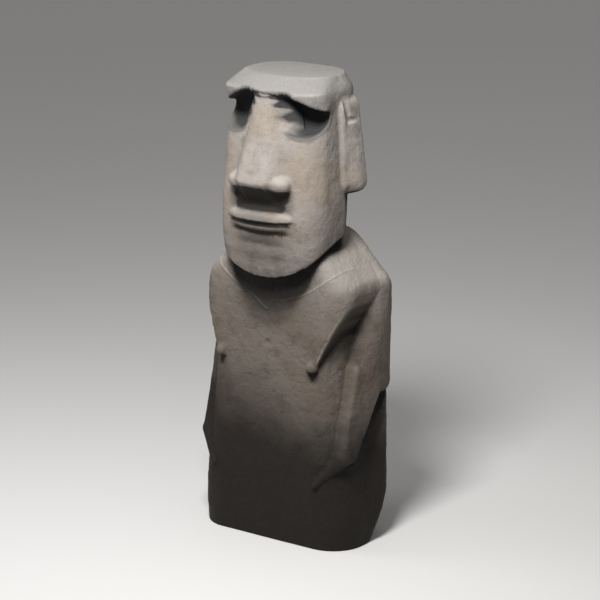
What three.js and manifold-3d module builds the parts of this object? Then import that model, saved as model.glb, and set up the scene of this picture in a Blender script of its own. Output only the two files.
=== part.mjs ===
// A moai: a standing figure carved from one block of basalt, head, trunk and arms in one stone.
//
// Millimetres, +Z up. The figure stands on its flat foot and faces -Y, so its own left hand is on +X.
// The origin is on the ground, under the middle of the stone.
//
// The stone is one closed tube of rings. The figure is a function that gives the gap from a point to
// its surface, below zero inside: simple solids joined and cut with soft edges, as a carver leaves
// them. Every point of the tube comes in along a level line until that gap is zero, and the points
// are then spread evenly over the surface. The hollows of the eyes are cut out of it last.
import * as THREE from "three";
import Module from "manifold-3d";
import { mergeVertices } from "three/addons/utils/BufferGeometryUtils.js";

// ---------------------------------------------------------------- driving sizes
const HEIGHT = 2420;

// Each station is [height, value]. Front and back are places along Y, front below zero.
const HEAD = {
  halfWide: [
    [1420, 284], [1540, 303], [1720, 311], [1900, 308], [2080, 299], [2240, 292], [2345, 298], [2420, 256],
  ],
  front: [
    [1420, -296], [1560, -306], [1720, -304], [1900, -290], [2100, -268], [2250, -262], [2346, -288],
    [2362, -272], [2420, -182],
  ],
  back: [[1450, 150], [1600, 112], [1720, 116], [1900, 144], [2120, 176], [2330, 194], [2420, 180]],
  corner: [[1420, 110], [1800, 100], [2150, 62], [2420, 50]], // rounding of the face's upright edges
  backCorner: 160,
  bow: [[1420, 40], [1800, 44], [2150, 70], [2420, 90]], // how far its middle stands in front of its sides
  bowFrom: 60, // the bow fades out between these two places along Y
  bowFull: -160,
};
const JAW = { chin: 1402, rise: 0.36, front: -300, sideLift: 88, halfWide: 290, edge: 18 };
const BROW = {
  middle: 2350, drop: 88, halfWide: 280, curve: 2.4, overhang: 34, lip: 12, fadeLow: 2150, fadeHigh: 2300,
};
const EYE = { x: 186, y: -290, z: 2250, wide: 132, deep: 172, tall: 122, slant: 0.16, noseGap: 4 };
const NOSE = {
  top: 2366, arch: 0.006, tip: 1904, foot: 1780, bridge: 264, out: 384, lip: 290, lift: 0.9, liftFrom: 70,
  ridge: [26, 90], // half its width, at the top and at the tip
  spread: [0.95, 0.82], // how fast the flanks open, at the top and at the tip
  behind: [110, 220], // where the wedge ends inside the head, at the top and at the tip
};
const WING = { x: 126, y: -300, z: 1898, wide: 60, deep: 54, tall: 42 };
const LIPS = {
  line: 1708, y: -286, halfWide: 198, out: 62, above: 72, lowerHalf: 178, lowerOut: 44, below: 50, lowerZ: 22,
};
const EAR = {
  front: -38, full: 72, back: 120, bottom: 1816, top: 2322, low: 374, high: 318, slant: 0.8, deep: 130,
  corner: 24, end: 80,
};

const TRUNK = {
  halfWide: [[0, 470], [150, 470], [400, 436], [600, 408], [800, 394], [950, 384], [1150, 370], [1400, 385]],
  front: [[0, -248], [200, -264], [500, -280], [800, -270], [1000, -252], [1250, -226], [1450, -196]],
  back: [[0, 222], [300, 244], [800, 282], [1150, 302], [1350, 290], [1550, 212], [1700, 150]],
  corner: 180,
};
const LOIN = {
  halfWide: [[0, 476], [250, 478], [500, 460], [800, 440], [1000, 430]],
  front: [[0, -40], [215, -40], [468, 30], [825, 140], [1000, 180]],
  corner: 140,
};
const CHEST = { halfWide: 450, corner: 140, from: 286, low: 940, high: 1320, curve: 1.15, edge: 20 };
const SHOULDER = { neck: 1606, end: 1420, inner: 170, outer: 425, soft: 120 };
const NECK = { halfWide: 205, front: -205, corner: 120, top: 1800 };
const NIPPLE = { x: 283, z: 975, radius: 31, out: 25 };
const UPPER_ARM = {
  front: [[900, -94], [1330, 56]], back: 268, elbow: 752, full: 1250, outLow: 472, outHigh: 474,
  corner: 130, end: 96,
};
const FOREARM = {
  elbow: [30, 930], wrist: [-160, 470], wideElbow: 122, wideWrist: 54, outElbow: 470, outWrist: 454,
  inside: 300, corner: 26, end: 40, tilt: 0.13, // its outer face looks a little forward
};
const HAND = { wrist: [412, -172, 490], tip: [318, -270, 358], thick: 46, thin: 18 };

// The lost corner of the foot, behind the figure's left: a slope through (x, y) at the ground.
const CHIP = { x: 372, y: 140, turn: 0.75, lean: 0.55, edge: 40 };

const AROUND = 54; // points in a ring
const FRONT_SHARE = 0.62; // share of them on the front half
const BANDS = [[0, 460, 7], [460, 1360, 25], [1360, 1700, 11], [1700, HEIGHT, 30]]; // from, to, rings
// How far the rings climb at the sides to follow the jaw, and drop to follow the brow.
const JAW_CLIMB = [[1150, 0], [1402, 110], [1620, 0]];
const BROW_DROP = [[2130, 0], [2350, 84], [HEIGHT, 0]];
const AXIS_Y = -20; // the tube's middle line
const OUTSIDE = 640; // farther from that line than any of the stone
const SPREADING = 12; // rounds of spreading the points
const SMOOTHING = 1;

// ---------------------------------------------------------------- soft joining
const mix = (a, b, t) => a + (b - a) * t;
const limit = (v, low, high) => Math.min(high, Math.max(low, v));
const ease = (low, high, v) => {
  const t = limit((v - low) / (high - low), 0, 1);
  return t * t * (3 - 2 * t);
};

// The union of two solids, with a fillet of about `soft` where they meet.
function join(a, b, soft) {
  const h = limit(0.5 + (0.5 * (b - a)) / soft, 0, 1);
  return mix(b, a, h) - soft * h * (1 - h);
}
// What two solids share, and a solid with another cut out of it.
const share = (a, b, soft) => -join(-a, -b, soft);
const cut = (a, tool, soft) => share(a, -tool, soft);

// A smooth curve through a few stations.
function along(stations, z) {
  const last = stations.length - 1;
  if (z <= stations[0][0]) return stations[0][1];
  if (z >= stations[last][0]) return stations[last][1];
  let i = 0;
  while (z > stations[i + 1][0]) i += 1;
  const slope = (k) => {
    const low = stations[Math.max(k - 1, 0)];
    const high = stations[Math.min(k + 1, last)];
    return (high[1] - low[1]) / (high[0] - low[0]);
  };
  const [z0, v0] = stations[i];
  const [z1, v1] = stations[i + 1];
  const w = z1 - z0;
  const t = (z - z0) / w;
  const t2 = t * t;
  const t3 = t2 * t;
  return (2 * t3 - 3 * t2 + 1) * v0 + (t3 - 2 * t2 + t) * w * slope(i)
    + (3 * t2 - 2 * t3) * v1 + (t3 - t2) * w * slope(i + 1);
}

// ---------------------------------------------------------------- simple solids
// An upright block with rounded corners, seen in plan: half as wide as `half`, from `front` to `back`.
function block(x, y, half, front, back, corner) {
  const dx = Math.abs(x) - half + corner;
  const dy = Math.abs(y - (front + back) / 2) - (back - front) / 2 + corner;
  return Math.hypot(Math.max(dx, 0), Math.max(dy, 0)) + Math.min(Math.max(dx, dy), 0) - corner;
}

function egg(x, y, z, wide, deep, tall) {
  const k = Math.hypot(x / wide, y / deep, z / tall);
  return (k - 1) * Math.min(wide, deep, tall) * Math.max(1, 0.5 + 0.5 * k);
}

// A round bar from a to b whose radius goes from r0 to r1.
function bar(x, y, z, a, b, r0, r1) {
  const [ux, uy, uz] = [b[0] - a[0], b[1] - a[1], b[2] - a[2]];
  const [px, py, pz] = [x - a[0], y - a[1], z - a[2]];
  const t = limit((px * ux + py * uy + pz * uz) / (ux * ux + uy * uy + uz * uz), 0, 1);
  return Math.hypot(px - t * ux, py - t * uy, pz - t * uz) - mix(r0, r1, t);
}

// ---------------------------------------------------------------- the trunk
const shoulderTop = (side) => mix(SHOULDER.neck, SHOULDER.end, ease(SHOULDER.inner, SHOULDER.outer, side));

// The chest is broader than the belly, and ends in an edge from the nipple up to the armpit.
function chest(side, y, z) {
  const outward = limit((side - CHEST.from) / (CHEST.halfWide - CHEST.from), 0, 1);
  const edge = mix(CHEST.low, CHEST.high, outward ** CHEST.curve);
  const slab = block(side, y, CHEST.halfWide, along(TRUNK.front, z), along(TRUNK.back, z), CHEST.corner);
  return share(slab, edge - z, CHEST.edge);
}

function trunk(side, y, z) {
  const front = along(TRUNK.front, z);
  const back = along(TRUNK.back, z);
  const belly = block(side, y, along(TRUNK.halfWide, z), front, back, TRUNK.corner);
  const loin = block(side, y, along(LOIN.halfWide, z), along(LOIN.front, z), back, LOIN.corner);
  const whole = Math.min(join(belly, loin, 36), chest(side, y, z));
  const body = share(whole, z - shoulderTop(side), SHOULDER.soft);
  const neck = share(block(side, y, NECK.halfWide, NECK.front, back, NECK.corner), z - NECK.top, 20);
  return join(body, neck, 60);
}

// The upper arm is a broad slab down the side, and the forearm goes forward and down from its end.
function arm(side, y, z) {
  const out = mix(UPPER_ARM.outLow, UPPER_ARM.outHigh, ease(UPPER_ARM.elbow, UPPER_ARM.full, z));
  const plan = block(side, y, out, along(UPPER_ARM.front, z), UPPER_ARM.back, UPPER_ARM.corner);
  const ended = share(plan, UPPER_ARM.elbow - z, UPPER_ARM.end);
  const upper = share(ended, z - shoulderTop(side), SHOULDER.soft);

  const [elbowY, elbowZ] = FOREARM.elbow;
  const [runY, runZ] = [FOREARM.wrist[0] - elbowY, FOREARM.wrist[1] - elbowZ];
  const long = Math.hypot(runY, runZ);
  const down = ((y - elbowY) * runY + (z - elbowZ) * runZ) / long;
  const across = ((y - elbowY) * runZ - (z - elbowZ) * runY) / long;
  const t = limit(down / long, 0, 1);
  const wide = mix(FOREARM.wideElbow, FOREARM.wideWrist, t);
  const outside = mix(FOREARM.outElbow, FOREARM.outWrist, t);
  const turned = side + FOREARM.tilt * across;
  const slab = block(across, turned, wide, FOREARM.inside, outside, FOREARM.corner);
  const fore = share(slab, Math.max(-down, down - long), FOREARM.end);

  const hand = bar(side, y, z, HAND.wrist, HAND.tip, HAND.thick, HAND.thin);
  return join(join(upper, fore, 12), hand, 22);
}

// ---------------------------------------------------------------- the head
// How far back the face has curved at this distance from the middle.
const bow = (side, z) => along(HEAD.bow, z) * Math.min(1, side / along(HEAD.halfWide, z)) ** 2;

// The height of the brow's lower edge.
const browLine = (side) => BROW.middle - BROW.drop * (side / BROW.halfWide) ** BROW.curve;

function skull(side, y, z) {
  const bowed = y - bow(side, z) * ease(HEAD.bowFrom, HEAD.bowFull, y);
  const line = browLine(side);
  const hollow = BROW.overhang * ease(line, line - BROW.lip, z) * ease(BROW.fadeLow, BROW.fadeHigh, z);
  const front = along(HEAD.front, z) + hollow;
  const corner = mix(along(HEAD.corner, z), HEAD.backCorner, ease(HEAD.bowFull, HEAD.bowFrom, y));
  const plan = block(side, bowed, along(HEAD.halfWide, z), front, along(HEAD.back, z), corner);
  const jaw = JAW.chin + JAW.rise * Math.max(0, y - JAW.front) + JAW.sideLift * (side / JAW.halfWide) ** 2;
  return share(plan, jaw - z, JAW.edge);
}

// The nose is a wedge with a flat ridge, cut off below by a slope that runs back to the lip.
const noseDown = (z) => limit((NOSE.top - z) / (NOSE.top - NOSE.tip), 0, 1.1);
const noseBridge = (down) => mix(NOSE.bridge, NOSE.out, down ** 1.25);
const noseHalf = (y, z) => {
  const down = noseDown(z);
  return mix(...NOSE.ridge, down) + (y + noseBridge(down)) * mix(...NOSE.spread, down);
};

function nose(side, y, z) {
  const down = noseDown(z);
  const flank = (side - noseHalf(y, z)) / Math.hypot(1, mix(...NOSE.spread, down));
  const lean = (NOSE.tip - NOSE.foot) / (NOSE.out - NOSE.lip);
  const lift = NOSE.lift * Math.max(0, side - NOSE.liftFrom);
  const under = (NOSE.tip - z - (y + NOSE.out) * lean + lift) / Math.hypot(1, lean);
  const wedge = share(share(-noseBridge(down) - y, flank, 26), under, 12);
  const ends = Math.max(z - NOSE.top + NOSE.arch * side * side, y + mix(...NOSE.behind, down));
  const wing = egg(side - WING.x, y - WING.y, z - WING.z, WING.wide, WING.deep, WING.tall);
  return join(share(wedge, ends, 20), wing, 20);
}

// The upper lip is a ledge that overhangs the lower one.
function mouth(side, y, z) {
  const forward = y - LIPS.y;
  const rise = z - LIPS.line;
  const upper = egg(side, forward, rise, LIPS.halfWide, LIPS.out, LIPS.above);
  const lower = egg(side, forward, rise + LIPS.lowerZ, LIPS.lowerHalf, LIPS.lowerOut, LIPS.below);
  return join(share(upper, -rise, 8), share(lower, rise, 8), 4);
}

// The ear is a long slab that stands out more towards its back.
function ear(side, y, z) {
  const out = mix(EAR.low, EAR.high, ease(EAR.bottom, EAR.top, z));
  const half = (EAR.back - EAR.front) / 2;
  const sunk = (out - EAR.high) * EAR.slant * ease(EAR.full, EAR.front, y);
  const slab = block(y - EAR.front - half, side + sunk, half, out - EAR.deep, out, EAR.corner);
  return share(slab, Math.max(EAR.bottom - z, z - EAR.top), EAR.end);
}

function head(side, y, z) {
  const featured = join(join(skull(side, y, z), nose(side, y, z), 16), mouth(side, y, z), 12);
  return share(join(featured, ear(side, y, z), 10), z - HEIGHT, 8);
}

function figure(x, y, z) {
  const side = Math.abs(x);
  const stone = join(Math.min(trunk(side, y, z), arm(side, y, z)), head(side, y, z), 12);
  const broken = x - CHIP.x + (y - CHIP.y) * CHIP.turn - z * CHIP.lean;
  return share(stone, broken / Math.hypot(1, CHIP.turn, CHIP.lean), CHIP.edge);
}

// ---------------------------------------------------------------- the mesh
// The first place where a level line, coming in from outside, meets the stone.
function reach(z, angle) {
  const [dx, dy] = [Math.sin(angle), -Math.cos(angle)];
  const near = 0.5;
  const shortest = 1.5;
  const care = 0.6; // share of the gap that a step takes, because the gap is not exact everywhere
  let r = OUTSIDE;
  let gap = near + 1;
  while (gap > near && r > shortest) {
    gap = figure(r * dx, AXIS_Y + r * dy, z);
    if (gap > near) r -= Math.max(care * gap, shortest);
  }
  return new THREE.Vector3(r * dx, AXIS_Y + r * dy, z);
}

// Moves a point straight onto the surface.
const slope = new THREE.Vector3();
function settle(p) {
  const E = 2; // half the width of a difference
  const most = 12; // the longest move
  const { x, y, z } = p;
  slope.set(
    figure(x + E, y, z) - figure(x - E, y, z),
    figure(x, y + E, z) - figure(x, y - E, z),
    figure(x, y, z + E) - figure(x, y, z - E),
  ).divideScalar(2 * E);
  p.addScaledVector(slope, -limit(figure(x, y, z) / Math.max(slope.lengthSq(), 0.3), -most, most));
}

// Spreads the points evenly over the surface: each goes half way to the middle of its neighbours, and
// back onto the surface. In the smoothing rounds it stays there, which takes the saw teeth off edges
// that the rings don't follow.
function fair(stone, rounds, smoothing) {
  const at = stone.getAttribute("position");
  const near = Array.from({ length: at.count }, () => new Set());
  const index = stone.getIndex().array;
  for (let i = 0; i < index.length; i += 3) {
    for (let k = 0; k < 3; k += 1) {
      near[index[i + k]].add(index[i + ((k + 1) % 3)]).add(index[i + ((k + 2) % 3)]);
    }
  }
  const [p, other, middle] = [0, 1, 2].map(() => new THREE.Vector3());
  for (let round = 0; round < rounds + smoothing; round += 1) {
    const moved = Float32Array.from(at.array);
    for (let i = 0; i < at.count; i += 1) {
      if (at.getZ(i) < 1 || at.getZ(i) > HEIGHT - 1) continue;
      middle.set(0, 0, 0);
      for (const j of near[i]) middle.add(other.fromBufferAttribute(at, j));
      p.fromBufferAttribute(at, i).lerp(middle.divideScalar(near[i].size), 0.5);
      if (round < rounds) {
        settle(p);
        settle(p);
      }
      p.z = limit(p.z, 2, HEIGHT - 2);
      moved.set(p.toArray(), 3 * i);
    }
    at.array.set(moved);
  }
}

// The angle of a ring's point, from -PI to PI with 0 in front, where the points are closest together.
function spread(turn) {
  const k = Math.abs(turn) * 2;
  return Math.sign(turn) * Math.PI * k ** (Math.log(0.5) / Math.log(FRONT_SHARE));
}

function plain(geometry) {
  geometry.deleteAttribute("normal");
  geometry.deleteAttribute("uv");
  return geometry;
}

function standingStone() {
  const levels = BANDS.flatMap(
    ([low, high, count]) => Array.from({ length: count }, (_, i) => mix(low, high, i / count)),
  );
  levels.push(HEIGHT);
  const top = levels.length - 1;
  const tube = plain(new THREE.CylinderGeometry(1, 1, 1, AROUND, top));
  const at = tube.getAttribute("position");
  for (let i = 0; i < at.count; i += 1) {
    const z = levels[Math.round((at.getY(i) + 0.5) * top)];
    const onAxis = Math.hypot(at.getX(i), at.getZ(i)) < 0.5;
    const angle = spread(Math.atan2(at.getX(i), at.getZ(i)) / (2 * Math.PI));
    const climb = along(JAW_CLIMB, z) * ease(0, 1.2, Math.abs(angle));
    const drop = along(BROW_DROP, z) * ease(0.2, 1.15, Math.abs(angle));
    const height = z + climb - drop;
    const p = onAxis ? new THREE.Vector3(0, AXIS_Y, z) : reach(limit(height, 1, HEIGHT - 1), angle);
    at.setXYZ(i, p.x, p.y, onAxis ? z : height);
  }
  const stone = mergeVertices(tube, 1e-3);
  fair(stone, SPREADING, SMOOTHING);
  return stone;
}

// The hollow of an eye is an egg. The brow cuts it off above, and it stays clear of the nose.
function eyeHollow() {
  const hollow = plain(new THREE.SphereGeometry(1, 32, 22));
  const at = hollow.getAttribute("position");
  for (let i = 0; i < at.count; i += 1) {
    const y = EYE.y + EYE.deep * at.getY(i);
    const x = EYE.x + EYE.wide * at.getX(i);
    const z = EYE.z + EYE.tall * at.getZ(i) - EYE.slant * (x - EYE.x);
    const noseSide = noseHalf(Math.min(y, -mix(...NOSE.behind, noseDown(z))), z) + EYE.noseGap;
    const side = Math.max(x, noseSide);
    at.setXYZ(i, side, y + bow(side, z), Math.min(z, browLine(side)));
  }
  return mergeVertices(hollow, 1e-3);
}

function nipple() {
  const button = plain(new THREE.SphereGeometry(NIPPLE.radius, 16, 10));
  button.translate(NIPPLE.x, along(TRUNK.front, NIPPLE.z) + NIPPLE.radius - NIPPLE.out, NIPPLE.z);
  return mergeVertices(button, 1e-3);
}

// The same piece on the other side of the body.
function mirrored(geometry) {
  const other = geometry.clone().scale(-1, 1, 1);
  other.setIndex([...geometry.getIndex().array].reverse());
  return other;
}

const manifold = await Module();
manifold.setup();

function solid(geometry) {
  const vertProperties = Float32Array.from(geometry.getAttribute("position").array);
  const triVerts = Uint32Array.from(geometry.getIndex().array);
  return new manifold.Manifold(new manifold.Mesh({ numProp: 3, vertProperties, triVerts }));
}

function standingFigure() {
  const hollow = eyeHollow();
  const button = nipple();
  const eyed = solid(standingStone()).subtract(solid(hollow)).subtract(solid(mirrored(hollow)));
  const carved = eyed.add(solid(button)).add(solid(mirrored(button))).getMesh();
  const stone = new THREE.BufferGeometry();
  stone.setAttribute("position", new THREE.BufferAttribute(Float32Array.from(carved.vertProperties), 3));
  stone.setIndex(new THREE.BufferAttribute(Uint32Array.from(carved.triVerts), 1));
  stone.computeBoundingBox();
  const middle = stone.boundingBox.getCenter(new THREE.Vector3());
  stone.translate(-middle.x, -middle.y, 0);
  stone.computeVertexNormals();
  return stone;
}

const basalt = new THREE.MeshStandardMaterial({ color: 0x6e655d, roughness: 0.85, metalness: 0 });
const statue = new THREE.Mesh(standingFigure(), basalt);
statue.name = "moai";

const part = new THREE.Group();
part.add(statue);
export default part;
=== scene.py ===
import math

import bmesh
import bpy
import numpy as np
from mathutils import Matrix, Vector, noise


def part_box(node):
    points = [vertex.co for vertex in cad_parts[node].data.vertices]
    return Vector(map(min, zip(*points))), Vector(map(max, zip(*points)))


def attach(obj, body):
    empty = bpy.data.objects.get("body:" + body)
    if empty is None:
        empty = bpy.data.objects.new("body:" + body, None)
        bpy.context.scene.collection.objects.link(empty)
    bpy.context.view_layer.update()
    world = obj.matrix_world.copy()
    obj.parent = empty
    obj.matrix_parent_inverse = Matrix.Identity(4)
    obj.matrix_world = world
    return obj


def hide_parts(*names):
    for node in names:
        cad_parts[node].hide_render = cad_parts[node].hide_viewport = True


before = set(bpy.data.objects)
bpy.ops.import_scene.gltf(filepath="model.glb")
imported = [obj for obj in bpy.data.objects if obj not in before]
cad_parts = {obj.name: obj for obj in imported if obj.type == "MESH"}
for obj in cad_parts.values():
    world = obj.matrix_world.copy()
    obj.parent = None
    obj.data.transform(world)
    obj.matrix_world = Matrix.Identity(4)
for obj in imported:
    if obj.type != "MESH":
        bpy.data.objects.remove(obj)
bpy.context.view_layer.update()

stone_low, stone_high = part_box("moai")

# ---------------------------------------------------------------- the drawing, in millimetres
# It stands on z = 0 and faces -y. A station is (height, value). "side" is the distance from the
# middle plane, so that what is drawn once stands on both sides.
HEIGHT = 2420.0

HEAD_WIDE = [(1420, 284), (1540, 303), (1720, 311), (1900, 308), (2080, 299), (2240, 292), (2345, 298),
             (2420, 256)]
HEAD_FRONT = [(1420, -296), (1560, -306), (1720, -304), (1900, -290), (2100, -268), (2250, -262),
              (2346, -288), (2362, -272), (2420, -182)]
HEAD_BACK = [(1450, 150), (1600, 112), (1720, 116), (1900, 144), (2120, 176), (2330, 194), (2420, 180)]
HEAD_BOW = [(1420, 40), (1800, 44), (2150, 70), (2420, 90)]
HEAD_CORNER = [(1420, 110), (1800, 100), (2150, 62), (2420, 50)]
HEAD_BACK_CORNER = 160
JAW = dict(chin=1402, rise=0.36, lift=88, edge=12)
BROW = dict(middle=2350, drop=88, half=280, curve=2.4, overhang=34, lip=10, fade=(2150, 2300), edge=6)
EYE = dict(x=186, y=-290, z=2250, wide=132, deep=172, tall=122, slant=0.16)
NOSE = dict(top=2366, arch=0.006, tip=1904, foot=1780, bridge=264, out=384, lip=290, ridge=(26, 90),
            spread=(0.95, 0.82), behind=(110, 220), lift=0.9, lift_from=70)
WING = dict(x=126, y=-300, z=1898, wide=60, deep=54, tall=42)
LIPS = dict(line=1708, y=-286, half=198, out=62, above=72, lower_half=178, lower_out=44, below=50, lower_z=22)
EAR = dict(front=-38, full=72, back=120, bottom=1816, top=2322, low=374, high=318, slant=0.8, deep=130,
           corner=22, end=80)
HOOK = [((316, -10, 2300), 14), ((326, 14, 2196), 20), ((334, 62, 2190), 13)]  # the groove of the ear's curl
NOTCH = dict(place=(352, -8, 1846), radius=26)  # in front of the ear lobe

TRUNK_WIDE = [(0, 470), (150, 470), (400, 436), (600, 408), (800, 394), (950, 384), (1150, 370), (1400, 385)]
LOIN_WIDE = [(0, 476), (250, 478), (500, 460), (800, 440), (1000, 430)]
LOIN_FRONT = [(0, -40), (215, -40), (468, 30), (825, 140), (1000, 180)]
LOIN_CORNER = 140
TRUNK_FRONT = [(0, -248), (200, -264), (500, -280), (800, -270), (1000, -252), (1250, -226), (1450, -196)]
TRUNK_BACK = [(0, 222), (300, 244), (800, 282), (1150, 302), (1350, 290), (1550, 212), (1700, 150)]
TRUNK_CORNER = 180
CHEST = dict(half=450, corner=140, start=286, low=940, high=1320, curve=1.15, edge=16)
SHOULDER = dict(neck=1606, end=1420, inner=170, outer=425, soft=120)
NECK = dict(half=205, front=-205, corner=120, top=1800)
NIPPLE = dict(x=283, z=975, radius=31, out=25)
UPPER_ARM = dict(back=268, elbow=752, full=1250, low=472, high=474, corner=130, end=96)
UPPER_ARM_FRONT = [(900, -94), (1330, 56)]
FOREARM = dict(elbow=(30, 930), wrist=(-160, 470), wide=(122, 54), out=(470, 454), inside=300, corner=22,
               end=40, tilt=0.13)
HAND = dict(wrist=(412, -172, 490), tip=(318, -270, 358), thick=46, thin=16)
# The lost corner of the foot: a slope through (x, y) at the ground.
CHIP = dict(x=372, y=140, turn=0.75, lean=0.55, edge=30)
COLLAR = dict(middle=1276, curve=0.00125, notch=52, right=104, left=28, half=395, wide=8, out=6.5)

# How softly the parts run into each other.
SOFT = dict(loin=36, neck=60, neck_top=20, nipple=9, elbow=10, hand=20, head=12, nose=16, ridge=26,
            nose_foot=9, nose_end=18, wing=18, lip=5, lips=3, mouth=10, ear=10, ear_cut=8, crown=6)

# The drawing laid on the frame: its height is the solid's, and its nose reaches the solid's front.
UNIT = (stone_high.z - stone_low.z) / HEIGHT
FORWARD = stone_low.y / UNIT + NOSE["out"]


# ---------------------------------------------------------------- soft joining
def mix(a, b, t):
    return a + (b - a) * t


def ease(low, high, value):
    t = np.clip((value - low) / (high - low), 0, 1)
    return t * t * (3 - 2 * t)


def join(a, b, soft):
    """The union of two solids, with a fillet of about `soft` where they meet."""
    h = np.clip(0.5 + 0.5 * (b - a) / soft, 0, 1)
    return mix(b, a, h) - soft * h * (1 - h)


def share(a, b, soft):
    return -join(-a, -b, soft)


def cut(a, tool, soft):
    return share(a, -tool, soft)


def along(stations, z):
    """A smooth curve through a few stations."""
    at, value = np.array(stations, float).T
    z = np.clip(z, at[0], at[-1])
    i = np.clip(np.searchsorted(at, z, side="right") - 1, 0, len(at) - 2)
    before, after = np.maximum(np.arange(len(at)) - 1, 0), np.minimum(np.arange(len(at)) + 1, len(at) - 1)
    slope = (value[after] - value[before]) / (at[after] - at[before])
    run = at[i + 1] - at[i]
    t = (z - at[i]) / run
    t2, t3 = t * t, t * t * t
    return ((2 * t3 - 3 * t2 + 1) * value[i] + (t3 - 2 * t2 + t) * run * slope[i]
            + (3 * t2 - 2 * t3) * value[i + 1] + (t3 - t2) * run * slope[i + 1])


def block(x, y, half, front, back, corner):
    """An upright block with rounded corners, seen in plan."""
    dx = np.abs(x) - half + corner
    dy = np.abs(y - (front + back) / 2) - (back - front) / 2 + corner
    return np.hypot(np.maximum(dx, 0), np.maximum(dy, 0)) + np.minimum(np.maximum(dx, dy), 0) - corner


def egg(x, y, z, wide, deep, tall):
    k = np.sqrt((x / wide) ** 2 + (y / deep) ** 2 + (z / tall) ** 2)
    return (k - 1) * min(wide, deep, tall) * np.maximum(1, 0.5 + 0.5 * k)


def ball(x, y, z, middle, radius):
    return np.sqrt((x - middle[0]) ** 2 + (y - middle[1]) ** 2 + (z - middle[2]) ** 2) - radius


def bar(x, y, z, a, b, r0, r1):
    """A round bar from a to b whose radius goes from r0 to r1."""
    ux, uy, uz = b[0] - a[0], b[1] - a[1], b[2] - a[2]
    px, py, pz = x - a[0], y - a[1], z - a[2]
    t = np.clip((px * ux + py * uy + pz * uz) / (ux * ux + uy * uy + uz * uz), 0, 1)
    return np.sqrt((px - t * ux) ** 2 + (py - t * uy) ** 2 + (pz - t * uz) ** 2) - mix(r0, r1, t)


# ---------------------------------------------------------------- the trunk and arms
def shoulder_top(side):
    return mix(SHOULDER["neck"], SHOULDER["end"], ease(SHOULDER["inner"], SHOULDER["outer"], side))


def chest(side, y, z):
    """Broader than the belly. It ends in an edge from under the nipple up to the armpit."""
    outward = np.clip((side - CHEST["start"]) / (CHEST["half"] - CHEST["start"]), 0, 1)
    edge = mix(CHEST["low"], CHEST["high"], outward ** CHEST["curve"])
    slab = block(side, y, CHEST["half"], along(TRUNK_FRONT, z), along(TRUNK_BACK, z), CHEST["corner"])
    return share(slab, edge - z, CHEST["edge"])


def trunk(side, y, z):
    front, back = along(TRUNK_FRONT, z), along(TRUNK_BACK, z)
    belly = block(side, y, along(TRUNK_WIDE, z), front, back, TRUNK_CORNER)
    loin = block(side, y, along(LOIN_WIDE, z), along(LOIN_FRONT, z), back, LOIN_CORNER)
    belly = join(belly, loin, SOFT["loin"])
    body = share(np.minimum(belly, chest(side, y, z)), z - shoulder_top(side), SHOULDER["soft"])
    post = block(side, y, NECK["half"], NECK["front"], back, NECK["corner"])
    neck = share(post, z - NECK["top"], SOFT["neck_top"])
    nipple_y = along(TRUNK_FRONT, np.array([NIPPLE["z"]]))[0] + NIPPLE["radius"] - NIPPLE["out"]
    nipple = ball(side, y, z, (NIPPLE["x"], nipple_y, NIPPLE["z"]), NIPPLE["radius"])
    return join(join(body, neck, SOFT["neck"]), nipple, SOFT["nipple"])


def arm(side, y, z):
    """The upper arm is a broad slab down the side. The forearm goes forward and down from its end."""
    out = mix(UPPER_ARM["low"], UPPER_ARM["high"], ease(UPPER_ARM["elbow"], UPPER_ARM["full"], z))
    plan = block(side, y, out, along(UPPER_ARM_FRONT, z), UPPER_ARM["back"], UPPER_ARM["corner"])
    ended = share(plan, UPPER_ARM["elbow"] - z, UPPER_ARM["end"])
    upper = share(ended, z - shoulder_top(side), SHOULDER["soft"])

    (elbow_y, elbow_z), (wrist_y, wrist_z) = FOREARM["elbow"], FOREARM["wrist"]
    run_y, run_z = wrist_y - elbow_y, wrist_z - elbow_z
    long = math.hypot(run_y, run_z)
    down = ((y - elbow_y) * run_y + (z - elbow_z) * run_z) / long
    across = ((y - elbow_y) * run_z - (z - elbow_z) * run_y) / long
    t = np.clip(down / long, 0, 1)
    turned = side + FOREARM["tilt"] * across  # its outer face looks a little forward
    wide, out = mix(*FOREARM["wide"], t), mix(*FOREARM["out"], t)
    slab = block(across, turned, wide, FOREARM["inside"], out, FOREARM["corner"])
    fore = share(slab, np.maximum(-down, down - long), FOREARM["end"])
    hand = bar(side, y, z, HAND["wrist"], HAND["tip"], HAND["thick"], HAND["thin"])
    return join(join(upper, fore, SOFT["elbow"]), hand, SOFT["hand"])


# ---------------------------------------------------------------- the head
def bow(side, z):
    """How far back the face has curved at this distance from the middle."""
    return along(HEAD_BOW, z) * np.minimum(1, side / along(HEAD_WIDE, z)) ** 2


def brow_line(side):
    """The height of the brow's lower edge."""
    return BROW["middle"] - BROW["drop"] * (side / BROW["half"]) ** BROW["curve"]


def skull(side, y, z):
    bowed = y - bow(side, z) * ease(60, -160, y)
    line = brow_line(side)
    under_brow = ease(line, line - BROW["lip"], z) * ease(*BROW["fade"], z)
    front = along(HEAD_FRONT, z) + BROW["overhang"] * under_brow
    corner = mix(along(HEAD_CORNER, z), HEAD_BACK_CORNER, ease(-160, 60, y))
    plan = block(side, bowed, along(HEAD_WIDE, z), front, along(HEAD_BACK, z), corner)
    jaw = JAW["chin"] + JAW["rise"] * np.maximum(0, y + 300) + JAW["lift"] * (side / 290) ** 2
    return share(plan, jaw - z, JAW["edge"])


def eye(side, y, z):
    """The hollow of the eye is an egg, cut off above by the arch of the brow."""
    low = z - EYE["z"] + EYE["slant"] * (side - EYE["x"])
    hollow = egg(side - EYE["x"], y - EYE["y"] - bow(side, z), low, EYE["wide"], EYE["deep"], EYE["tall"])
    return share(hollow, z - brow_line(side), BROW["edge"])


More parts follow.
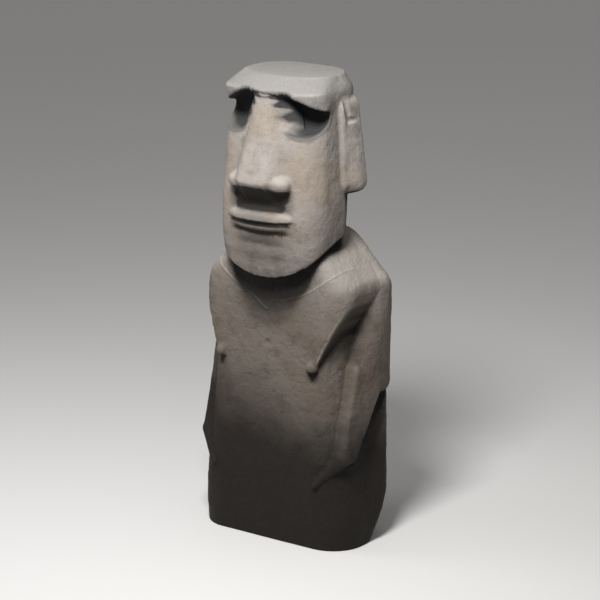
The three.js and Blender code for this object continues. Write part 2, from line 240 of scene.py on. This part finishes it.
def nose(side, y, z):
    """A wedge with a flat ridge, cut off below by a slope that runs back and down to the lip."""
    down = np.clip((NOSE["top"] - z) / (NOSE["top"] - NOSE["tip"]), 0, 1.1)
    ridge, spread = mix(*NOSE["ridge"], down), mix(*NOSE["spread"], down)
    bridge = mix(NOSE["bridge"], NOSE["out"], down ** 1.25)
    flank = (side - ridge - (y + bridge) * spread) / np.hypot(1, spread)
    lean = (NOSE["tip"] - NOSE["foot"]) / (NOSE["out"] - NOSE["lip"])
    lift = NOSE["lift"] * np.maximum(0, side - NOSE["lift_from"])
    under = (NOSE["tip"] - z - (y + NOSE["out"]) * lean + lift) / math.hypot(1, lean)
    wedge = share(share(-bridge - y, flank, SOFT["ridge"]), under, SOFT["nose_foot"])
    ends = np.maximum(z - NOSE["top"] + NOSE["arch"] * side ** 2, y + mix(*NOSE["behind"], down))
    wing = egg(side - WING["x"], y - WING["y"], z - WING["z"], WING["wide"], WING["deep"], WING["tall"])
    return join(share(wedge, ends, SOFT["nose_end"]), wing, SOFT["wing"])


def mouth(side, y, z):
    """The upper lip is a ledge that overhangs the lower one."""
    forward, rise = y - LIPS["y"], z - LIPS["line"]
    upper = egg(side, forward, rise, LIPS["half"], LIPS["out"], LIPS["above"])
    lower = egg(side, forward, rise + LIPS["lower_z"], LIPS["lower_half"], LIPS["lower_out"], LIPS["below"])
    return join(share(upper, -rise, SOFT["lip"]), share(lower, rise, SOFT["lip"]), SOFT["lips"])


def ear(side, y, z):
    """The ear is a long slab that stands out more towards its back."""
    out = mix(EAR["low"], EAR["high"], ease(EAR["bottom"], EAR["top"], z))
    half = (EAR["back"] - EAR["front"]) / 2
    sunk = (out - EAR["high"]) * EAR["slant"] * ease(EAR["full"], EAR["front"], y)
    slab = block(y - EAR["front"] - half, side + sunk, half, out - EAR["deep"], out, EAR["corner"])
    return share(slab, np.maximum(EAR["bottom"] - z, z - EAR["top"]), EAR["end"])


def ear_cuts(side, y, z):
    """The curl is a groove in two runs, each with a radius at its ends, and the notch is a ball."""
    (a, a_radius), (b, b_radius), (c, c_radius) = HOOK
    groove = np.minimum(bar(side, y, z, a, b, a_radius, b_radius), bar(side, y, z, b, c, b_radius, c_radius))
    return np.minimum(groove, ball(side, y, z, NOTCH["place"], NOTCH["radius"]))


def head(side, y, z):
    face = cut(skull(side, y, z), eye(side, y, z), BROW["edge"])
    featured = join(join(face, nose(side, y, z), SOFT["nose"]), mouth(side, y, z), SOFT["mouth"])
    eared = cut(join(featured, ear(side, y, z), SOFT["ear"]), ear_cuts(side, y, z), SOFT["ear_cut"])
    return share(eared, z - HEIGHT, SOFT["crown"])


def figure(p):
    """The gap from each point, in the drawing's millimetres, to the stone."""
    x, y, z = p[:, 0], p[:, 1], p[:, 2]
    side = np.abs(x)
    stone = join(np.minimum(trunk(side, y, z), arm(side, y, z)), head(side, y, z), SOFT["head"])
    lost = x - CHIP["x"] + (y - CHIP["y"]) * CHIP["turn"] - z * CHIP["lean"]
    lost = lost / math.hypot(1, CHIP["turn"], CHIP["lean"])
    return np.maximum(share(stone, lost, CHIP["edge"]), -z)


# ---------------------------------------------------------------- the mesh
STAGES = [(0.009, 4), (0.0064, 4)]  # voxel in metres, and how many pulls follow it
PROBE = 1.5  # mm, half the width of a central difference
FAR = 24.0  # mm, the longest pull in one go
FACES = 190_000


def slope(p, step=PROBE):
    """Which way, and how fast, the gap grows."""
    shifts = np.eye(3) * step
    return np.stack([figure(p + s) - figure(p - s) for s in shifts], 1) / (2 * step)


def settle(p, drift):
    """Each point moves straight onto the surface, and drifts along it."""
    steep = slope(p)
    steep_squared = np.maximum((steep ** 2).sum(1), 0.3)
    through = (drift * steep).sum(1) / steep_squared
    return p + drift - steep * (through + np.clip(figure(p) / steep_squared, -FAR, FAR))[:, None]


def read(mesh):
    co = np.empty(len(mesh.vertices) * 3)
    mesh.vertices.foreach_get("co", co)
    return co.reshape(-1, 3)


def write(mesh, co):
    mesh.vertices.foreach_set("co", co.astype(np.float32).ravel())
    mesh.update()


def to_drawing(co):
    return (co - (0, 0, stone_low.z)) / UNIT - (0, FORWARD, 0)


def to_frame(p):
    return (p + (0, FORWARD, 0)) * UNIT + (0, 0, stone_low.z)


def apply_modifier(piece, kind, **settings):
    modifier = piece.modifiers.new(kind.title(), kind)
    for name, value in settings.items():
        setattr(modifier, name, value)
    bpy.context.view_layer.objects.active = piece
    bpy.ops.object.modifier_apply(modifier=modifier.name)


def fine_stone():
    """A finely remeshed copy of the solid, pulled onto the drawn figure."""
    work = bmesh.new()
    work.from_mesh(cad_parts["moai"].data)
    bmesh.ops.remove_doubles(work, verts=work.verts, dist=1e-6)
    mesh = bpy.data.meshes.new("moai_stone")
    work.to_mesh(mesh)
    work.free()
    piece = bpy.data.objects.new("moai_stone", mesh)
    bpy.context.scene.collection.objects.link(piece)
    for voxel, pulls in STAGES:
        apply_modifier(piece, "REMESH", mode="VOXEL", voxel_size=voxel)
        for _ in range(pulls):
            p = to_drawing(read(piece.data))
            write(piece.data, to_frame(settle(p, evened(piece.data) - p)))
    return piece


def evened(mesh):
    """Where the points would be if each one moved towards the middle of its neighbours."""
    work = bmesh.new()
    work.from_mesh(mesh)
    for _ in range(2):
        bmesh.ops.smooth_vert(work, verts=work.verts, factor=0.5,
                              use_axis_x=True, use_axis_y=True, use_axis_z=True)
    p = to_drawing(np.array([v.co for v in work.verts]))
    work.free()
    return p


# ---------------------------------------------------------------- wear, cut into the mesh, and the masks for painted light and shade
WARP = dict(size=260, out=5.0)  # a carver's hand is never quite straight
SWELL = dict(size=95, out=2.6)
DRESSING = dict(size=26, out=0.9)
EDGE_REACH = 14.0  # mm on each side of a point, to tell whether it is on an edge
PIT = dict(cell=46, radius=0.17, deep=3.2)
CHIPPING = dict(size=30, from_edge=0.10, deep=4.5, chin=(1380, 1560), more=2.6,
                brow=(2250, 2300), less=0.7)
# rays towards a steep light overhead, for the mask of painted shade
SHADE_RAYS = dict(ways=12, steep=2.4, reaches=(30.0, 70.0, 130.0, 210.0, 320.0), hard=9.0)
DENTS = [(8, 1054, 27, 10), (-96, 872, 15, 5), (64, 806, 12, 4), (-150, 1130, 12, 4), (118, 700, 17, 5),
         (-60, 610, 20, 5), (190, 1190, 11, 4), (30, 520, 14, 4), (-188, 760, 13, 4)]  # x, z, radius, depth


def noise_field(p, size, shift=0.0):
    """Gradient noise, about -1 to 1, at each point."""
    return np.array([noise.noise(Vector(q)) for q in p / size + shift])


def fractal_field(p, size, octaves, shift=0.0):
    return np.array([noise.fractal(Vector(q), 1.0, 2.0, octaves) for q in p / size + shift])


def nearest_cell(p, size):
    """How far each point is from the nearest cell point, and a number of that cell's own."""
    found = [noise.voronoi(Vector(q)) for q in p / size]
    near = np.array([f[0][0] for f in found])
    own = np.array([math.sin(f[1][0].dot(Vector((12.9, 78.2, 37.7)))) * 43758.5 % 1.0 for f in found])
    return near, own


def edges(p, step):
    """Above zero where the drawn stone has an edge, below zero where it has a hollow."""
    shifts = np.eye(3) * step
    return sum(figure(p + s) + figure(p - s) for s in shifts) / (6 * step)


def shade_from_above(p, away):
    """How much the stone above a point shades it from a steep light overhead, from 0 to 1: the mask for the
    painted shade in recesses and under overhangs.
    """
    start = p + away * 8
    shaded = np.zeros(len(p))
    for turn in np.radians(np.arange(SHADE_RAYS["ways"]) * 360 / SHADE_RAYS["ways"]):
        ray = np.array([math.sin(turn), -math.cos(turn), SHADE_RAYS["steep"]])
        ray /= np.linalg.norm(ray)
        clear = np.ones(len(p))
        for reach in SHADE_RAYS["reaches"]:
            clear = np.minimum(clear, np.clip(figure(start + ray * reach) * SHADE_RAYS["hard"] / reach, 0, 1))
        shaded += (1 - clear) / SHADE_RAYS["ways"]
    return shaded


def in_socket(p):
    """1 on the wall of an eye hollow, fading out round its rim and at the nose: the mask for the painted
    shade in the eye sockets.
    """
    side, y, z = np.abs(p[:, 0]), p[:, 1], p[:, 2]
    return (1 - ease(3, 24, np.abs(eye(side, y, z)))) * ease(2, 16, nose(side, y, z))


def collar(p):
    """The neckline: a thin raised line that dips to a point in the middle of the chest."""
    side = np.abs(p[:, 0])
    dip = np.maximum(0, 1 - side / np.where(p[:, 0] < 0, COLLAR["right"], COLLAR["left"]))
    line = COLLAR["middle"] + COLLAR["curve"] * side ** 2 - COLLAR["notch"] * dip
    ridge = 1 - ease(0, COLLAR["wide"], np.abs(p[:, 2] - line))
    return COLLAR["out"] * ridge * (p[:, 1] < 0) * (1 - ease(COLLAR["half"] - 60, COLLAR["half"], side))


def dents(p):
    """Old knocks on the chest and belly."""
    deep = np.zeros(len(p))
    for x, z, radius, most in DENTS:
        away = np.hypot(p[:, 0] - x, p[:, 2] - z) / radius
        deep += most * (1 - ease(0.25, 1.0, away)) * (p[:, 1] < 0)
    return deep


def weather(piece):
    """Warps the stone a little, then moves each point along its normal by the sum of its wear."""
    p = to_drawing(read(piece.data))
    away = slope(p)
    away /= np.linalg.norm(away, axis=1)[:, None]
    edge = edges(p, EDGE_REACH)

    relief = SWELL["out"] * fractal_field(p, SWELL["size"], 3)
    relief += DRESSING["out"] * noise_field(p, DRESSING["size"], 7.3)
    near, own = nearest_cell(p, PIT["cell"])
    relief -= PIT["deep"] * (1 - ease(PIT["radius"] * 0.35, PIT["radius"], near)) * (own > 0.45)
    sharp = ease(CHIPPING["from_edge"], 3 * CHIPPING["from_edge"], edge)
    chin_low, chin_high = CHIPPING["chin"]
    chin = ease(chin_low - 30, chin_low, p[:, 2]) * ease(chin_high, chin_high - 40, p[:, 2])
    brow = ease(*CHIPPING["brow"], p[:, 2])
    lost = CHIPPING["deep"] * (1 + CHIPPING["more"] * chin) * (1 - CHIPPING["less"] * brow)
    relief -= lost * sharp * np.maximum(0, fractal_field(p, CHIPPING["size"], 3, 3.1) - 0.1)
    line = collar(p)
    relief += line - dents(p)
    # the collar ridge joins the edge mask, so its pale tint is a painted highlight along the raised line
    edge = np.maximum(edge, 0.12 * line)

    level = ease(0, 25, p[:, 2]) * ease(0, 8, HEIGHT - p[:, 2])  # the foot and the crown stay flat
    warp = np.stack([noise_field(p, WARP["size"], k) for k in (11.0, 23.0, 37.0)], 1) * WARP["out"]
    write(piece.data, to_frame(p + (away * relief[:, None] + warp) * level[:, None]))

    # Masks for the finish: edge is rubbed wear on the edges and a painted highlight on the collar; hollow is
    # painted shade under overhangs and in recesses; socket is painted shade in the eye sockets; upward is
    # where light from above is painted on.
    baked = dict(edge=np.clip(edge * 2.2, 0, 1), hollow=np.clip(shade_from_above(p, away), 0, 1),
                 socket=in_socket(p), upward=np.clip(away[:, 2], 0, 1))
    for name, values in baked.items():
        layer = piece.data.attributes.new(name, "FLOAT", "POINT")
        layer.data.foreach_set("value", values.astype(np.float32))


def thin_out(piece):
    """Keeps small faces where the form needs them, and shades them smooth."""
    apply_modifier(piece, "DECIMATE", ratio=FACES / sum(len(f.vertices) - 2 for f in piece.data.polygons))
    piece.data.shade_smooth()


# ---------------------------------------------------------------- shader maths
class Value:
    """A number on a shader socket. Arithmetic on it adds Math nodes."""

    def __init__(self, stone, socket):
        self.stone, self.socket = stone, socket

    def _math(self, operation, *inputs, clamp=False):
        values = {i: v for i, v in enumerate(inputs)}
        return self.stone.node("ShaderNodeMath", dict(operation=operation, use_clamp=clamp), values)

    def __add__(self, other):
        return self._math("ADD", self, other)

    def __sub__(self, other):
        return self._math("SUBTRACT", self, other)

    def __rsub__(self, other):
        return self._math("SUBTRACT", other, self)

    def __mul__(self, other):
        return self._math("MULTIPLY", self, other)

    __radd__, __rmul__ = __add__, __mul__

    def clamp(self):
        return self._math("ADD", self, 0.0, clamp=True)

    def step(self, low, high):
        """0 below low, 1 above high, smooth between."""
        return self.stone.node("ShaderNodeMapRange", dict(interpolation_type="SMOOTHSTEP"),
                               {"Value": self, "From Min": low, "From Max": high})


class Finish:
    """One material, built node by node."""

    def __init__(self, name):
        self.material = bpy.data.materials.new(name)
        self.material.use_nodes = True
        self.tree = self.material.node_tree
        self.shader = self.tree.nodes["Principled BSDF"]
        self.place = self.node("ShaderNodeTexCoord", {}, {}, "Object")

    def node(self, kind, settings, inputs, output=0):
        made = self.tree.nodes.new(kind)
        for name, value in settings.items():
            setattr(made, name, value)
        for key, value in inputs.items():
            self.feed(made.inputs[key], value)
        return Value(self, made.outputs[output])

    def feed(self, socket, value):
        if isinstance(value, Value):
            self.tree.links.new(value.socket, socket)
        else:
            socket.default_value = value

    def grain(self, size, detail=4.0, roughness=0.55, shift=0.0):
        """Noise whose spots are about `size` metres across, from 0 to 1."""
        shifts = {0: self.place, 1: (shift, shift, shift)}
        place = self.node("ShaderNodeVectorMath", dict(operation="ADD"), shifts)
        sockets = {"Vector": place, "Scale": 1 / size, "Detail": detail, "Roughness": roughness}
        return self.node("ShaderNodeTexNoise", {}, sockets)

    def cells(self, size):
        """How far it is to the nearest of many points, about `size` metres apart."""
        return self.node("ShaderNodeTexVoronoi", {}, {"Vector": self.place, "Scale": 1 / size}, "Distance")

    def place_along(self, axis):
        return self.node("ShaderNodeSeparateXYZ", {}, {0: self.place}, axis)

    def worn(self, name):
        """One of the numbers that weather() leaves on the mesh."""
        return self.node("ShaderNodeAttribute", dict(attribute_name=name), {}, "Fac")

    def blend(self, a, b, factor):
        """From colour a to colour b."""
        return self.node("ShaderNodeMix", dict(data_type="RGBA"), {0: factor, 6: a, 7: b}, 2)


def colour(red, green, blue):
    return (red, green, blue, 1.0)


def basalt():
    """Brown-grey basalt: mottled and pitted, with pale rubbed edges; painted light on its upper parts and
    up-facing ledges, and painted shade towards the foot, under overhangs and in the eye sockets.
    """
    stone = Finish("basalt")
    height, leftward = stone.place_along("Z"), stone.place_along("X")
    edge, hollow, socket, upward = [stone.worn(name) for name in ("edge", "hollow", "socket", "upward")]

    clouds = stone.grain(0.34, 5.0)
    patches = stone.grain(0.09, 6.0, 0.6, shift=3.0)
    specks = stone.grain(0.007, 3.0, 0.6, shift=5.0)
    flecks = stone.grain(0.011, 2.0, 0.5, shift=9.0)
    pores = stone.cells(0.016)

    # painted light: the stone paler and greyer higher up, for light that falls off down the statue
    lit_up_high = (height + (clouds - 0.5) * 0.5).step(1.0, 2.0)
    pale = stone.blend(colour(0.140, 0.119, 0.104), colour(0.290, 0.270, 0.256), lit_up_high)
    brown = stone.blend(colour(0.116, 0.092, 0.074), colour(0.262, 0.222, 0.190), lit_up_high)
    tint = stone.blend(pale, brown, clouds.step(0.42, 0.66))
    stain = stone.blend(colour(0.062, 0.049, 0.040), colour(0.150, 0.124, 0.104), lit_up_high)
    tint = stone.blend(tint, stain, patches.step(0.48, 0.70) * 0.5)
    painted_toplight = upward.step(0.10, 0.75) * height.step(1.2, 1.4)  # painted light on up-facing surfaces, from the shoulders up
    tint = stone.blend(tint, colour(0.380, 0.352, 0.325), painted_toplight * 0.65)
    tint = stone.blend(tint, colour(0.225, 0.216, 0.208), height.step(2.29, 2.35))  # painted shade: a flat darker grey on the crown, where the key light falls hardest
    # pale rubbed edges, and a painted highlight along the collar ridge
    tint = stone.blend(tint, colour(0.430, 0.400, 0.365), edge.step(0.15, 0.8) * 0.4)
    tint = stone.blend(tint, colour(0.090, 0.078, 0.068), specks.step(0.56, 0.72) * 0.40)
    tint = stone.blend(tint, colour(0.450, 0.415, 0.365), flecks.step(0.66, 0.74) * (0.10 + lit_up_high * 0.25))

    # painted shade: near black towards the foot, its soft edge slanting across the figure, for light that
    # falls off lower down
    painted_foot_shade = (1 - (height + leftward * 0.3 + (clouds - 0.5) * 0.5).step(0.48, 0.98)).clamp()
    # painted shadow colour for overhangs and recesses, a little greyer on the head
    painted_shadow_colour = stone.blend(colour(0.009, 0.0074, 0.0062), colour(0.030, 0.031, 0.033), height.step(2.0, 2.15))
    tint = stone.blend(tint, colour(0.011, 0.0086, 0.0068), painted_foot_shade * 0.96)
    # painted shade in the eye sockets
    tint = stone.blend(tint, colour(0.060, 0.059, 0.060), socket * 0.75)
    # painted shadow under overhangs and in recesses, where stone above blocks steep light
    tint = stone.blend(tint, painted_shadow_colour, hollow.step(0.46, 0.92) * 0.96)
    stone.feed(stone.shader.inputs["Base Color"], tint)

    rough = 0.78 + specks * 0.16 - painted_foot_shade * 0.12
    stone.feed(stone.shader.inputs["Roughness"], rough)
    stone.shader.inputs["Specular IOR Level"].default_value = 0.22

    pitting = pores.step(0.05, 0.32) * stone.grain(0.05, 2.0, 0.5, shift=1.0).step(0.42, 0.6)
    fine = specks * 0.35 + stone.grain(0.022, 5.0, 0.65, shift=7.0) * 0.9 + pitting * 0.5
    sockets = {"Height": fine * (1.9 - lit_up_high * 1.1), "Distance": 0.004, "Strength": 0.65}
    stone.feed(stone.shader.inputs["Normal"], stone.node("ShaderNodeBump", {}, sockets, "Normal"))
    return stone.material


# ---------------------------------------------------------------- the studio
CAMERA_AZIMUTH, CAMERA_ELEVATION, CAMERA_AWAY = 36.0, 15.5, 14.0
VIEW_HEIGHT = 1.2686  # share of the statue's height that fills the picture
AIM = (0.036, 0.026, 1.228)


def direction(azimuth, elevation):
    """Azimuth 0 is straight in front of the face, and 90 is the figure's left."""
    a, e = math.radians(azimuth), math.radians(elevation)
    return Vector((math.sin(a) * math.cos(e), -math.cos(a) * math.cos(e), math.sin(e)))


def aim(thing, target, away):
    thing.location = target + away
    thing.rotation_mode = "QUATERNION"
    thing.rotation_quaternion = (-away).to_track_quat("-Z", "Y")


def camera():
    lens = bpy.data.cameras.new("camera")
    seen = VIEW_HEIGHT * (stone_high.z - stone_low.z)
    lens.lens = lens.sensor_width * CAMERA_AWAY / seen
    lens.clip_end = 200
    thing = bpy.data.objects.new("camera", lens)
    bpy.context.scene.collection.objects.link(thing)
    aim(thing, Vector(AIM), direction(CAMERA_AZIMUTH, CAMERA_ELEVATION) * CAMERA_AWAY)
    bpy.context.scene.camera = thing


def softbox(name, azimuth, elevation, away, size, watts, target, tint):
    light = bpy.data.lights.new(name, "AREA")
    light.shape, light.size, light.energy, light.color = "DISK", size, watts, tint[:3]
    thing = bpy.data.objects.new(name, light)
    bpy.context.scene.collection.objects.link(thing)
    aim(thing, Vector(target), direction(azimuth, elevation) * away)


def floor():
    work = bmesh.new()
    bmesh.ops.create_circle(work, cap_ends=True, segments=96, radius=60.0)
    mesh = bpy.data.meshes.new("floor")
    work.to_mesh(mesh)
    work.free()
    piece = bpy.data.objects.new("floor", mesh)
    bpy.context.scene.collection.objects.link(piece)
    paper = Finish("paper")
    paper.shader.inputs["Base Color"].default_value = colour(0.80, 0.80, 0.80)
    paper.shader.inputs["Roughness"].default_value = 0.9
    mesh.materials.append(paper.material)


def studio():
    camera()
    floor()
    softbox("key", 22, 50, 4.0, 1.3, 270, (0.0, -0.1, 1.9), colour(1.0, 0.985, 0.96))
    softbox("fill", -60, 20, 5.0, 3.0, 45, (0.0, 0.0, 1.5), colour(0.92, 0.96, 1.0))
    world = bpy.data.worlds.new("room")
    world.use_nodes = True
    sky = world.node_tree.nodes["Background"]
    sky.inputs["Color"].default_value = colour(1.0, 0.98, 0.95)
    sky.inputs["Strength"].default_value = 0.24
    bpy.context.scene.world = world
    bpy.context.scene.view_settings.view_transform = "Standard"


# ---------------------------------------------------------------- all of it
studio()
statue = fine_stone()
weather(statue)
thin_out(statue)
statue.data.materials.clear()
statue.data.materials.append(basalt())
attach(statue, "root")
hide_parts("moai")
